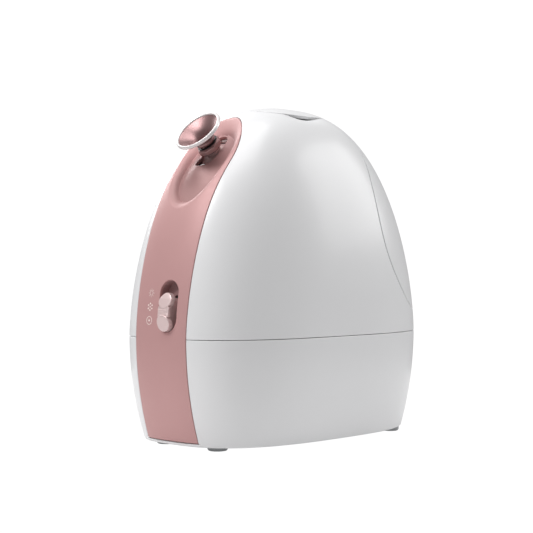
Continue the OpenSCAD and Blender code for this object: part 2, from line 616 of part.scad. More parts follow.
module switch_bezel() color("indianred") on_strip(switch_x, switch_z) difference() {
    box([-10.1, 1, -18.8], [10.1, 9, 18.8]);
    slab(0, 7.5) stadium(17.6, slot_len);
    translate([0, 0, rest_shift + slide_travel / 2]) slab(7, 10) stadium(4.4, slide_travel + 8.6);
}
module mode_slider() color("rosybrown") on_strip(switch_x, switch_z) translate([0, 0, rest_shift]) {
    translate([0, 0, knob_gap]) slab(-1.8, 7.2) circle(r = knob_r);
    translate([0, 0, -knob_gap]) slab(-2.8, 7.2) circle(r = knob_r);
    box([-4, 1.5, -knob_gap], [4, 7.2, knob_gap]);
}
module slider_carriage() color("ivory") on_strip(switch_x, switch_z) translate([0, 0, rest_shift]) {
    slab(7.2, 9.4) stadium(4, 8);
    box([-7, 9.4, -9], [7, 11, 9]);
}
module switch_board() color("seagreen") on_strip(switch_x, switch_z) {
    box([-11, 12, -18], [11, 13.4, 20]);
    for (z = [-9.6, -1, 7.6]) box([-2.5, 11.2, z - 1.2], [2.5, 12, z + 1.2]);
}
icon_x = -9.6;
icon_heights = [106.6, 97.2, 88];
module mark() slab(-0.3, -0.05) children();
module mode_icons() color("mistyrose") {
    on_strip(icon_x, icon_heights[0]) mark() {
        difference() {
            circle(r = 1.5);
            circle(r = 1.1);
        }
        for (a = [0 : 45 : 315]) rotate(a) translate([2.1, 0]) circle(r = 0.25);
    }
    on_strip(icon_x, icon_heights[1]) mark() {
        circle(r = 0.4);
        for (a = [0 : 60 : 300]) rotate(a + 30) translate([1.7, 0]) circle(r = 0.4);
    }
    on_strip(icon_x, icon_heights[2]) mark() difference() {
        circle(r = 2.1);
        circle(r = 1.7);
    }
}

upper_housing();
base_housing();
front_panel();
base_plate();
feet();
base_screws();
mode_icons();
switch_bezel();
switch_board();
mid_deck();
tank_seat();
seat_gasket();
bay_wall();
bay_deck();
boiler();
boiler_lid();
heater_plate();
thermostat();
mist_chamber();
ultrasonic_disc();
steam_hose();
mist_hose();
feed_hose();
turret_bracket();
fan_frame();
main_board();
power_module();
power_inlet();
inlet_pins();
inner_lead();
tank_cover();
water_tank();
tank_cap();
cap_seal();
valve_plunger();
valve_spring();
nozzle_turret();
nozzle_collar();
nozzle_dish();
dish_rim();
mode_slider();
slider_carriage();
fan_rotor();
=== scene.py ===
"""Looks of a domed facial steamer: white shells, a rose front strip, a tilting dish nozzle,
a two-knob mode slider and a lift-off tank cover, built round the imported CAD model.
Lengths in this file are millimetres until a mesh is made."""
import json
import math

import bpy
import numpy as np
from mathutils import Matrix, Vector
from mathutils.geometry import delaunay_2d_cdt


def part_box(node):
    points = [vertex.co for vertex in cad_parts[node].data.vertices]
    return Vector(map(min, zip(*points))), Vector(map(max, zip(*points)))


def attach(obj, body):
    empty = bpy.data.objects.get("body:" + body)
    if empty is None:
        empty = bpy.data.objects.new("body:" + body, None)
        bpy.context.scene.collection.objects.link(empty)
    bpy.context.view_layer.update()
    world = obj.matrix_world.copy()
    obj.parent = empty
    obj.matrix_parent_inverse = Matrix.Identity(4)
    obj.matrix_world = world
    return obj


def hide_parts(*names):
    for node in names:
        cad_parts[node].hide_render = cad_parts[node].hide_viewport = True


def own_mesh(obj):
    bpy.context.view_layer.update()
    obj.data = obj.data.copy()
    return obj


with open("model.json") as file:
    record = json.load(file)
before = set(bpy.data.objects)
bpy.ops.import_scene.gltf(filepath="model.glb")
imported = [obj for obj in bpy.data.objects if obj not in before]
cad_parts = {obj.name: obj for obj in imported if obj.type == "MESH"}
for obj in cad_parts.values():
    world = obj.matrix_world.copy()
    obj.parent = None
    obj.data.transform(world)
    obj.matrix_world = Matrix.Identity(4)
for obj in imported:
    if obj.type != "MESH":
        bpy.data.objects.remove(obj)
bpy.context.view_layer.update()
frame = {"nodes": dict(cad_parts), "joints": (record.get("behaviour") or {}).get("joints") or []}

MM = 0.001
JOINTS = {joint["name"]: joint for joint in frame["joints"]}


def edge_of(node, end, axis):
    """A face of a CAD node's box, in millimetres: end 0 is the low one."""
    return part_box(node)[end][axis] / MM


# ---- the camera, at the angle that the steamer is seen from ----

VIEW_AZIMUTH, VIEW_ELEVATION = math.radians(43.72), math.radians(0.38)
VIEW_TARGET = Vector((0, 0, 0.12))
VIEW_DISTANCE = 0.952
LENS, SENSOR, SHIFT = 87.0, 36.0, (-0.021, 0.0113)


def make_camera():
    data = bpy.data.cameras.new("camera")
    data.lens, data.sensor_width = LENS, SENSOR
    data.shift_x, data.shift_y = SHIFT
    camera = bpy.data.objects.new("camera", data)
    flat = math.cos(VIEW_ELEVATION)
    back = Vector((math.sin(VIEW_AZIMUTH) * flat, -math.cos(VIEW_AZIMUTH) * flat,
                   math.sin(VIEW_ELEVATION)))
    camera.location = VIEW_TARGET + back * VIEW_DISTANCE
    camera.rotation_mode = "QUATERNION"
    camera.rotation_quaternion = (-back).to_track_quat("-Z", "Y")
    bpy.context.scene.collection.objects.link(camera)
    bpy.context.scene.camera = camera


make_camera()

# ---- the outer surface of the dome, by bearing from the front and level ----

HALF_W = 70.0
HALF_D = 117.0
TOP = edge_of("tank_cover", 1, 2)
PART_Z = edge_of("base_housing", 1, 2)
LOW = edge_of("base_housing", 0, 2)
WALL = 2.4
PLAN_N, DOME_P, DOME_Q, CROWN, TUCK = 2.85, 1.67, 2.56, 0.11, 0.1
BROW, BROW_LEVEL, BROW_SPAN = 0.045, 0.62, 0.13


def ease(x):
    """Smooth step from 0 to 1."""
    c = np.clip(x, 0, 1)
    return c * c * (3 - 2 * c)


def level_scale(u):
    """Share of the plan's size at a level: -1 is the bottom, 0 the parting line, 1 the top."""
    return np.where(u >= 0, np.maximum(np.cos(np.pi / 2 * u), 0) ** (2 / DOME_Q), 1 - TUCK * u * u)


def level_z(u, d=0.0):
    """Height of a level, on a surface d below the skin."""
    rise = np.sin(np.pi / 2 * np.clip(u, 0, 1)) ** (2 / DOME_P)
    return PART_Z + (TOP - d - PART_Z) * rise + (PART_Z - LOW) * np.minimum(u, 0)


def level_at(z):
    """Level at a height on the skin."""
    share = np.clip((z - PART_Z) / (TOP - PART_Z), 0, 1)
    return np.arcsin(share ** (DOME_P / 2)) / (np.pi / 2) + np.minimum(z - PART_Z, 0) / (PART_Z - LOW)


def plan_radius(a):
    """The plan's rounded shape: radius by bearing, for half-widths of 1."""
    return (np.abs(np.sin(a)) ** PLAN_N + np.abs(np.cos(a)) ** PLAN_N) ** (-1 / PLAN_N)


def half_w(u, d=0.0):
    return (HALF_W - d) * (1 + CROWN * np.maximum(u, 0) ** 2)


def skin_point(a, u, d=0.0):
    """Point at a bearing and level, d below the skin, with a slight hollow above the strip."""
    a, u, d = np.broadcast_arrays(np.asarray(a, float), u, d)
    k = level_scale(u) * plan_radius(a)
    hollow = np.maximum(np.cos(a), 0) ** 2 * np.exp(-((u - BROW_LEVEL) / BROW_SPAN) ** 2)
    back = -(HALF_D - d) * k * np.cos(a) * (1 - BROW * hollow)
    return np.stack([half_w(u, d) * k * np.sin(a), back, level_z(u, d)], -1)


def bearing(x, u):
    """Bearing on the front half of a point x off the middle, at a level."""
    s = np.clip(np.abs(x) / (half_w(u) * level_scale(u)), 0, 0.999)
    return np.sign(x) * np.arctan2(s, (1 - s ** PLAN_N) ** (1 / PLAN_N))


def front_point(x, z, d=0.0):
    u = level_at(z)
    return skin_point(bearing(x, u), u, d)


def unit(v):
    return v / np.maximum(np.linalg.norm(v, axis=-1, keepdims=True), 1e-9)


# A flat chart of the dome seen from above, drawn so that small shapes keep their shape
LEVELS = np.linspace(-1, 1, 4001)
MEAN_R = math.sqrt(HALF_W * HALF_D) * level_scale(LEVELS)
STEP = np.hypot(np.diff(MEAN_R), np.diff(level_z(LEVELS)))
ARC = np.concatenate([[0], np.cumsum(STEP)])
CLIMB = np.concatenate([[0], np.cumsum(STEP / np.maximum((MEAN_R[1:] + MEAN_R[:-1]) / 2, 0.2))])
CHART_WAIST = 100.0      # the chart's radius at the parting line
CHART_R = CHART_WAIST * np.exp(CLIMB[len(LEVELS) // 2] - CLIMB)
CHART_R[-1] = 0


def chart(a, u):
    """Chart point of a bearing and level."""
    r = np.interp(u, LEVELS, CHART_R)
    return np.stack([r * np.sin(a), -r * np.cos(a)], -1)


def chart_scale(q):
    """Chart units for a millimetre, at chart points q."""
    r = np.linalg.norm(q, axis=-1)
    mean = np.interp(r, CHART_R[::-1], MEAN_R[::-1])
    return np.maximum(r, 1e-3) / np.maximum(mean, 1e-2)


def dome_surface(dip=None):
    """Point and outward normal of the dome at chart points, dip(a, u) below the true surface."""
    def at(a, u):
        where = skin_point(a, u)
        return where - dip(a, u)[:, None] * outward_normal(a, u) if dip else where

    def surface(q):
        a = np.arctan2(q[:, 0], -q[:, 1])
        u = np.interp(np.linalg.norm(q, axis=1), CHART_R[::-1], LEVELS[::-1])
        h = 1e-4
        low, high = np.maximum(u - h, -1.2), np.minimum(u + h, 1)
        normal = np.cross(at(a + h, u) - at(a - h, u), at(a, high) - at(a, low))
        flat = np.linalg.norm(normal, axis=1) < 1e-9
        normal[flat] = (0, 0, 1)
        return at(a, u), unit(normal)
    return surface


def outward_normal(a, u):
    """Outward normal of the undented dome."""
    h = 1e-4
    side = skin_point(a + h, u) - skin_point(a - h, u)
    up = skin_point(a, np.minimum(u + h, 1)) - skin_point(a, u - h)
    return unit(np.cross(side, up))


# ---- outlines on the surface ----

STRIP_HALF, STRIP_FLARE, STRIP_T, STRIP_LOW = 25.5, 1.2, 2.0, 5.8
ARCH_Z, ARCH_H = 198.0, 33.0
LIP_LEVEL = -0.965
SEAM = np.array([[0, 0.875], [17, 0.8725], [34, 0.855], [48, 0.843], [65, 0.835], [84, 0.832],
                 [103, 0.833], [119, 0.835], [129.5, 0.815], [132, 0.75], [129.5, 0.67], [124, 0.59],
                 [119.8, 0.52], [117.2, 0.45], [115.8, 0.38], [115.7, 0.32], [116.8, 0.27],
                 [119.2, 0.22], [123, 0.17], [128.4, 0.122], [136, 0.094], [150, 0.086], [165, 0.084],
                 [180, 0.084]])


def strip_half(z):
    """Half the strip's width at a height."""
    return STRIP_HALF + STRIP_FLARE * np.clip((z - PART_Z) / (ARCH_Z - PART_Z), 0, 1)


def smooth_line(points, steps):
    """Catmull-Rom line through points, whose first and last run straight on."""
    p = np.vstack([2 * points[0] - points[1], points, 2 * points[-1] - points[-2]])
    t = np.linspace(0, 1, steps, endpoint=False)[:, None]
    parts = [0.5 * (2 * p[i] + (p[i + 1] - p[i - 1]) * t
                    + (2 * p[i - 1] - 5 * p[i] + 4 * p[i + 1] - p[i + 2]) * t ** 2
                    + (3 * p[i] - p[i - 1] - 3 * p[i + 1] + p[i + 2]) * t ** 3)
             for i in range(1, len(p) - 2)]
    return np.vstack(parts + [points[-1:]])


def seam_line():
    """The whole seam as bearings and levels, from the front middle round by the right."""
    steps, turn = 12, np.array([360, 0])
    before, after = SEAM[1] * [-1, 1], SEAM[1] + turn
    round_left = np.vstack([SEAM[-2:0:-1] * [-1, 1] + turn, SEAM[:1] + turn])
    line = smooth_line(np.vstack([before, SEAM, round_left, after]), steps)[steps:-steps]
    return np.radians(line[:, 0]), line[:, 1]


def strip_edge(side):
    """Edge of the strip from the parting line to the top middle, on one side."""
    z = np.linspace(PART_Z, ARCH_Z, 60)
    angle = np.linspace(0, np.pi / 2, 60)[1:]
    x = np.concatenate([strip_half(z), strip_half(ARCH_Z) * np.cos(angle)])
    u = level_at(np.concatenate([z, ARCH_Z + ARCH_H * np.sin(angle)]))
    return chart(bearing(side * x, u), u)


def stadium(centre, half_width, half_length, squeeze=1.0):
    """Round-ended slot, clockwise, with its height squeezed."""
    t = np.linspace(0, 2 * np.pi, 161)
    x = half_width * np.cos(t)
    y = half_width * np.sin(t) + np.sign(np.sin(t)) * (half_length - half_width)
    return (np.stack([x, y * squeeze], -1) + centre)[::-1]


def rounded(points, radius, steps=5):
    """Closed outline with each corner rounded off."""
    p = np.asarray(points, float)
    out = []
    for i in range(len(p)):
        before, here, after = p[i - 1], p[i], p[(i + 1) % len(p)]
        to_a, to_b = unit(before - here), unit(after - here)
        cut = min(radius, np.linalg.norm(before - here) * 0.45, np.linalg.norm(after - here) * 0.45)
        t = np.linspace(0, 1, steps)[:, None]
        a, b = here + to_a * cut, here + to_b * cut
        out.append((1 - t) ** 2 * a + 2 * t * (1 - t) * here + t ** 2 * b)
    return np.vstack(out)


# ---- plates: closed shells with rounded edges over a surface ----

ROUNDING = np.radians([90, 68, 45, 22, 0])


def spaced(line, surface, spacing):
    """Points along a line in the chart, evenly spaced on the surface, without the last."""
    where = surface(line)[0]
    length = np.concatenate([[0], np.cumsum(np.linalg.norm(np.diff(where, axis=0), axis=1))])
    at = np.linspace(0, length[-1], max(2, math.ceil(length[-1] / spacing) + 1))[:-1]
    return np.stack([np.interp(at, length, line[:, i]) for i in (0, 1)], -1)


def inside(points, loops):
    """Which points lie in an odd number of closed loops."""
    odd = np.zeros(len(points), bool)
    for loop in loops:
        a, b = loop, np.roll(loop, -1, 0)
        for start in range(0, len(points), 4000):
            p = points[start:start + 4000, None]
            spans = (a[:, 1] > p[..., 1]) != (b[:, 1] > p[..., 1])
            rise = np.where(b[:, 1] == a[:, 1], 1e-12, b[:, 1] - a[:, 1])
            x = a[:, 0] + (p[..., 1] - a[:, 1]) * (b[:, 0] - a[:, 0]) / rise
            odd[start:start + 4000] ^= (np.sum(spans & (p[..., 0] < x), axis=1) % 2).astype(bool)
    return odd


def gap_to(points, line):
    """Distance from each point to the nearest point of a line."""
    out = np.empty(len(points))
    for start in range(0, len(points), 4000):
        p = points[start:start + 4000, None]
        out[start:start + 4000] = np.sqrt(((p - line) ** 2).sum(-1).min(1))
    return out


def mesh_object(name, points, faces, normals=None):
    """Mesh object from points in millimetres."""
    mesh = bpy.data.meshes.new(name)
    mesh.from_pydata((np.asarray(points) * MM).tolist(), [], faces)
    mesh.shade_smooth()
    if normals is not None:
        mesh.normals_split_custom_set(normals.tolist())
    piece = bpy.data.objects.new(name, mesh)
    bpy.context.scene.collection.objects.link(piece)
    return piece


def plate(name, surface, scale, loops, fill, thickness=WALL, spacing=1.6, guard=1.2):
    """A closed plate over a surface. Each loop is (segments, gap, rounding), with the plate
    on its left; fill is the field of points between the loops."""
    chart_points, depth, tilt, outward, lines, edges = [], [], [], [], [], []
    count = 0
    for segments, gap, rounding in loops:
        line = np.vstack([spaced(np.asarray(s, float), surface, spacing) for s in segments])
        ahead = unit(np.roll(line, -1, 0) - line)
        behind = unit(line - np.roll(line, 1, 0))
        turn = lambda v: np.stack([-v[:, 1], v[:, 0]], -1)
        inward = unit(turn(ahead + behind))
        miter = 1 / np.maximum((inward * turn(ahead)).sum(1), 0.6)
        k = (scale(line) * miter)[:, None]
        lines.append(line)
        for ring, angle in enumerate([*ROUNDING, None]):
            off = gap + rounding + guard
            if angle is not None:
                off = gap + rounding * (1 - math.sin(angle))
            chart_points.append(line + inward * off * k)
            depth.append(np.full(len(line), rounding * (1 - math.cos(angle or 0))))
            tilt.append(np.full(len(line), angle or 0.0))
            outward.append(-inward)
            if ring == 0:
                edges += [(count + i, count + (i + 1) % len(line)) for i in range(len(line))]
            count += len(line)
    rims = [chart_points[i] for i in range(0, len(chart_points), len(ROUNDING) + 1)]
    if len(fill):
        fill = fill[inside(fill, rims)]
        for line, (_, gap, rounding) in zip(lines, loops):
            fill = fill[gap_to(fill, line) > (gap + rounding + guard * 1.7) * scale(fill)]
        chart_points.append(fill)
        depth.append(np.zeros(len(fill)))
        tilt.append(np.zeros(len(fill)))
        outward.append(np.tile([1.0, 0.0], (len(fill), 1)))
    flat = np.vstack(chart_points)
    made = delaunay_2d_cdt([Vector(p) for p in flat], edges, [], 0, 1e-7)
    order = np.array([found[0] if found else 0 for found in made[3]])
    q = np.array([tuple(v) for v in made[0]])
    triangles = np.array([f for f in made[2] if len(f) == 3])
    triangles = triangles[inside(q[triangles].mean(1), rims)]
    depth, tilt, outward = (np.concatenate(v)[order] for v in (depth, tilt, outward))
    where, normal = surface(q)
    beside = surface(q + outward * 0.02 * scale(q)[:, None])[0] - where
    beside = unit(beside - (beside * normal).sum(1)[:, None] * normal)
    outer = where - normal * depth[:, None]
    shown = unit(normal * np.cos(tilt)[:, None] + beside * np.sin(tilt)[:, None])
    inner = thickness(q) if callable(thickness) else where - normal * thickness
    count = len(q)
    directed = {(int(t[i]), int(t[(i + 1) % 3])) for t in triangles for i in range(3)}
    rim = sorted((a, b) for a, b in directed if (b, a) not in directed)
    quads = [(b, a, a + count, b + count) for a, b in rim]
    faces = triangles.tolist() + (triangles[:, ::-1] + count).tolist() + quads
    side = np.array(quads)
    side_normals = beside[side[:, [0, 1, 1, 0]]]
    normals = np.vstack([shown[triangles].reshape(-1, 3), -normal[triangles[:, ::-1]].reshape(-1, 3),
                         side_normals.reshape(-1, 3)])
    return mesh_object(name, np.vstack([outer, inner]), faces, normals)


ROW_SHARE = 0.87     # row height over point spacing, in a field of even triangles


def dome_fill(low, high, spacing=3.0):
    """Chart points spread evenly over the dome between two levels."""
    start, stop = np.interp([low, high], LEVELS, ARC)
    rows = []
    for row, s in enumerate(np.arange(start, stop, spacing * ROW_SHARE)):
        u = float(np.interp(s, ARC, LEVELS))
        ring = skin_point(np.linspace(0, 2 * np.pi, 91), u)
        around = np.linalg.norm(np.diff(ring, axis=0), axis=1).sum()
        number = max(1, round(around / spacing))
        a = (np.arange(number) + 0.5 * (row % 2)) * 2 * np.pi / number
        rows.append(chart(a, u))
    return np.vstack(rows)


def flat_fill(low, high, spacing):
    """Points spread evenly over a flat box, in staggered rows."""
    x, y = np.meshgrid(np.arange(low[0], high[0], spacing),
                       np.arange(low[1], high[1], spacing * ROW_SHARE))
    x = x + 0.5 * spacing * (np.arange(len(x)) % 2)[:, None]
    return np.stack([x.ravel(), y.ravel()], -1)


# ---- materials ----

def material(name, color, roughness=0.4, metallic=0.0, coat=0.0, grain=0.0, grain_size=0.3,
             mottle=0.03, transmission=0.0):
    """Moulded, painted or plated surface: slight mottling of colour and roughness, and a fine grain."""
    made = bpy.data.materials.new(name)
    made.use_nodes = True
    nodes, links = made.node_tree.nodes, made.node_tree.links
    shader = nodes["Principled BSDF"]
    place = nodes.new("ShaderNodeTexCoord")

    def noise(size_mm, detail):
        node = nodes.new("ShaderNodeTexNoise")
        node.inputs["Scale"].default_value = 1 / (size_mm * MM)
        node.inputs["Detail"].default_value = detail
        links.new(place.outputs["Object"], node.inputs["Vector"])
        return node.outputs["Fac"]

    def spread(source, middle, amount):
        node = nodes.new("ShaderNodeMapRange")
        node.inputs["To Min"].default_value = middle - amount
        node.inputs["To Max"].default_value = middle + amount
        links.new(source, node.inputs["Value"])
        return node.outputs["Result"]

    patches = noise(22, 2)
    tint = nodes.new("ShaderNodeHueSaturation")
    tint.inputs["Color"].default_value = (*color[:3], 1)
    links.new(spread(patches, 1, mottle), tint.inputs["Value"])
    links.new(tint.outputs["Color"], shader.inputs["Base Color"])
    links.new(spread(noise(5, 3), roughness, roughness * 0.12), shader.inputs["Roughness"])
    if grain:
        bump = nodes.new("ShaderNodeBump")
        bump.inputs["Strength"].default_value = grain
        bump.inputs["Distance"].default_value = 0.05 * MM
        links.new(noise(grain_size, 2), bump.inputs["Height"])
        links.new(bump.outputs["Normal"], shader.inputs["Normal"])
    shader.inputs["Metallic"].default_value = metallic
    shader.inputs["Coat Weight"].default_value = coat
    shader.inputs["Coat Roughness"].default_value = 0.15
    shader.inputs["Transmission Weight"].default_value = transmission
    return made


def shade(look, centre, reach, tone):
    """Darkens an oval patch of a material, seen from the front, where little light gets in."""
    nodes, links = look.node_tree.nodes, look.node_tree.links
    color = nodes["Principled BSDF"].inputs["Base Color"]
    place, oval = nodes.new("ShaderNodeTexCoord"), nodes.new("ShaderNodeMapping")
    for axis, middle, half in ((0, centre[0], reach[0]), (2, centre[1], reach[1])):
        oval.inputs["Scale"].default_value[axis] = 1 / (half * MM)
        oval.inputs["Location"].default_value[axis] = -middle / half
    oval.inputs["Scale"].default_value[1] = 0
    length = nodes.new("ShaderNodeVectorMath")
    length.operation = "LENGTH"
    fade = nodes.new("ShaderNodeMapRange")
    fade.interpolation_type = "SMOOTHSTEP"
    for key, value in (("From Min", 0.72), ("From Max", 1.0), ("To Min", 1.0), ("To Max", 0.0)):
        fade.inputs[key].default_value = value
    mix = nodes.new("ShaderNodeMix")
    mix.data_type, mix.blend_type = "RGBA", "MULTIPLY"
    sockets = [i for i in mix.inputs if i.type == "RGBA"]
    links.new(color.links[0].from_socket, sockets[0])
    sockets[1].default_value = (*tone, 1)
    links.new(place.outputs["Object"], oval.inputs[0])
    links.new(oval.outputs[0], length.inputs[0])
    links.new(length.outputs["Value"], fade.inputs["Value"])
    links.new(fade.outputs["Result"], mix.inputs[0])
    links.new([o for o in mix.outputs if o.type == "RGBA"][0], color)


def dress(piece, look):
    piece.data.materials.clear()
    piece.data.materials.append(look)


WHITE = material("white_moulding", (0.84, 0.84, 0.85), 0.34, coat=0.15, grain=0.06, mottle=0.008)
ROSE = material("rose_paint", (0.58, 0.325, 0.32), 0.5, metallic=0.15, grain=0.1, mottle=0.02)
ROSE_METAL = material("rose_plating", (0.46, 0.285, 0.28), 0.45, metallic=0.6, grain=0.02)
ROSE_KNOB = material("rose_knob", (0.80, 0.62, 0.61), 0.36, metallic=0.3, grain=0.08)
BOWL = material("rose_bowl", (0.33, 0.195, 0.195), 0.36, metallic=0.6, grain=0.02)
SHIELD = material("rose_shield", (0.66, 0.43, 0.42), 0.45, metallic=0.1, grain=0.05)
PALE = material("pale_shield", (0.74, 0.66, 0.65), 0.35, grain=0.05)
BRIGHT = material("bright_ring", (0.92, 0.87, 0.87), 0.3, metallic=0.15, coat=0.5)
POCKET = material("dark_pocket", (0.42, 0.25, 0.25), 0.6, grain=0.1)
PRINT = material("pale_print", (0.93, 0.80, 0.77), 0.6, mottle=0.05)
INNER = material("inner_moulding", (0.76, 0.77, 0.78), 0.5, grain=0.1)
RUBBER = material("grey_rubber", (0.42, 0.43, 0.44), 0.75, grain=0.25)
SEAL = material("silicone_seal", (0.60, 0.61, 0.62), 0.6, grain=0.1)
STEEL = material("bright_steel", (0.70, 0.70, 0.71), 0.28, metallic=1.0, grain=0.05)
CAST = material("cast_aluminium", (0.66, 0.66, 0.67), 0.45, metallic=1.0, grain=0.5, grain_size=0.8)
CERAMIC = material("heater_ceramic", (0.78, 0.70, 0.58), 0.7, grain=0.3)
BLACK = material("black_moulding", (0.03, 0.03, 0.032), 0.5, grain=0.3)
BOARD = material("board_mask", (0.03, 0.20, 0.09), 0.4, grain=0.1, mottle=0.15)
HOSE = material("silicone_hose", (0.80, 0.81, 0.82), 0.35, grain=0.05, transmission=0.35)
LEAD = material("red_lead", (0.50, 0.03, 0.03), 0.45, grain=0.05)
TANK = material("clear_tank", (0.84, 0.92, 0.97), 0.08, grain=0.02, transmission=0.9)
CAP = material("blue_cap", (0.42, 0.55, 0.72), 0.38, grain=0.08)

# ---- shells ----


def shell(name, node, body, look, slot, *loops, dip=None, levels=(0, 1)):
    piece = plate(name, dome_surface(dip), chart_scale, loops, dome_fill(*levels))
    dress(piece, look)
    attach(piece, body)
    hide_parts(node)
    return piece


def part_line(low_side, high_side):
    """The parting line between two bearings."""
    a = np.linspace(low_side, high_side, 240)
    return chart(a, np.zeros_like(a))


SEAM_A, SEAM_U = seam_line()
INLET_Z, INLET_W, INLET_H = 20.52, 21.4, 10.6
PART_BEARING = float(bearing(STRIP_HALF, 0.0))
PARTING_EDGE = 0.19, 0.45     # gap and rounding along the parting line and the strip
SCOOP_DEPTH, SCOOP_HALF, SCOOP_REACH = 3.4, math.radians(33), 0.075
SEAM_TOP = 9      # the seam's points before it turns down


def scoop(a, u):
    """Finger scoops in the housing beside the cover's edge, one on each side."""
    round_front = np.abs(np.arctan2(np.sin(a), np.cos(a)))
    across = np.abs(round_front - np.pi / 2) / SCOOP_HALF
    seam_u = np.interp(round_front, np.radians(SEAM[:SEAM_TOP, 0]), SEAM[:SEAM_TOP, 1])
    up = np.clip(1 - (seam_u - u) / SCOOP_REACH, 0, 1.05)
    return SCOOP_DEPTH * np.maximum(1 - across ** 2, 0) ** 2.5 * up ** 2


def upper_shell():
    rim = [part_line(PART_BEARING, 2 * np.pi - PART_BEARING), strip_edge(-1), strip_edge(1)[::-1]]
    seam = chart(SEAM_A, SEAM_U)[::-1]
    shell("upper_shell", "upper_housing", "housing", WHITE, "white_shell",
          (rim, *PARTING_EDGE), ([seam], 0.22, 0.3), dip=scoop, levels=(0, 0.9))


def cover_shell():
    shell("cover_shell", "tank_cover", "tank", WHITE, "white_shell",
          ([chart(SEAM_A, SEAM_U)], 0.45, 0.3), levels=(0, 1))


def base_shell():
    a = np.linspace(-np.pi, np.pi, 400)
    z = np.linspace(PART_Z, level_z(LIP_LEVEL), 40)
    u = level_at(z)
    right = chart(bearing(STRIP_HALF + 0 * z, u), u)
    left = chart(bearing(-STRIP_HALF + 0 * z, u), u)
    low = bearing(STRIP_HALF, LIP_LEVEL)
    across = np.linspace(-low, low, 40)
    hole = [part_line(PART_BEARING, 2 * np.pi - PART_BEARING), left,
            chart(across, LIP_LEVEL + 0 * across), right[::-1]]
    hole = [line[::-1] for line in hole[::-1]]
    side, low_z, high_z = INLET_W / 2, INLET_Z - INLET_H / 2, INLET_Z + INLET_H / 2
    socket = rounded([[-side, low_z], [side, low_z], [side, high_z], [-side, high_z]], 1.2)
    socket = np.vstack([socket, socket[:1]])
    u = level_at(socket[:, 1])
    socket = chart(np.pi - bearing(socket[:, 0], u), u)
    shell("base_shell", "base_housing", "housing", WHITE, "white_shell", ([chart(a, -1 + 0 * a)], 0.0, 1.6),
          (hole, *PARTING_EDGE), ([socket], 0.0, 0.4), levels=(-1, 0))


# ---- front strip ----

RECESS_Z, RECESS_RIM, RECESS_FLOOR = 199.0, (24.3, 35.0, 30.3), (19.5, 27.5, 23.5)
RECESS_SHALLOW, RECESS_DEEP = 4.4, 6.4
SWELL, SWELL_Z, SWELL_REACH = 4.8, 195, (12, 10)
RECESS_SHADE = (0, RECESS_Z - 14), (23, 21), (0.76, 0.75, 0.74)
SWITCH_X, SWITCH_Z, SLOT_HALF_W, SLOT_HALF_L = 8.0, 98.0, 8.8, 17.5
NOZZLE_SLOT_Z, NOZZLE_SLOT_W, NOZZLE_SLOT_HALF = 208.4, 7.6, 18.0
PIVOT = Vector(JOINTS["nozzle_tilt"]["pos_m"]) / MM
AIM = Vector(JOINTS["nozzle_swivel"]["axis"])


def oval_ratio(x, z, shape):
    """1 on an egg-shaped oval of given half-width, reach down and reach up, 0 in its middle."""
    across, down, up = shape
    n = 2 + 0.6 * ease((z - RECESS_Z) / 10)
    reach = np.where(z < RECESS_Z, down, up)
    return (np.abs(x / across) ** n + np.abs((z - RECESS_Z) / reach) ** n) ** (1 / n)


def recess(x, z):
    """Depth of the nozzle's recess: a soft shoulder, crisper at the top, down to a swelling floor."""
    rim, floor = oval_ratio(x, z, RECESS_RIM), oval_ratio(x, z, RECESS_FLOOR)
    wall = np.where(floor < 1, 1, np.clip((1 - rim) / np.maximum(floor - rim, 1e-6), 0, 1))
    up = np.clip((z - RECESS_Z + RECESS_RIM[1]) / (RECESS_RIM[1] + RECESS_RIM[2]), 0, 1)
    depth = RECESS_SHALLOW + (RECESS_DEEP - RECESS_SHALLOW) * up
    depth = depth - SWELL * np.exp(-(x / SWELL_REACH[0]) ** 2 - ((z - SWELL_Z) / SWELL_REACH[1]) ** 2)
    return depth * wall ** (1.7 - 0.6 * ease((z - RECESS_Z) / 20))


def strip_surface(q):
    """Point and normal of the strip's face, q being sideways and height."""
    def at(x, z):
        return front_point(x, z, recess(x, z))
    x, z = q[:, 0], q[:, 1]
    h = 0.02
    normal = np.cross(at(x + h, z) - at(x - h, z), at(x, z + h) - at(x, z - h))
    return at(x, z), unit(normal)


def one(q):
    """Chart units for a millimetre in a chart drawn to size."""
    return np.ones(len(q))


def strip_outline():
    z = np.linspace(STRIP_LOW, ARCH_Z, 80)
    angle = np.linspace(0, np.pi, 120)
    arch = np.stack([strip_half(ARCH_Z) * np.cos(angle), ARCH_Z + ARCH_H * np.sin(angle)], -1)
    up = np.stack([strip_half(z), z], -1)
    down = (up * [-1, 1])[::-1]
    bottom = np.stack([np.linspace(-strip_half(0.0), strip_half(0.0), 30), np.full(30, STRIP_LOW)], -1)
    return [bottom, up, arch, down]


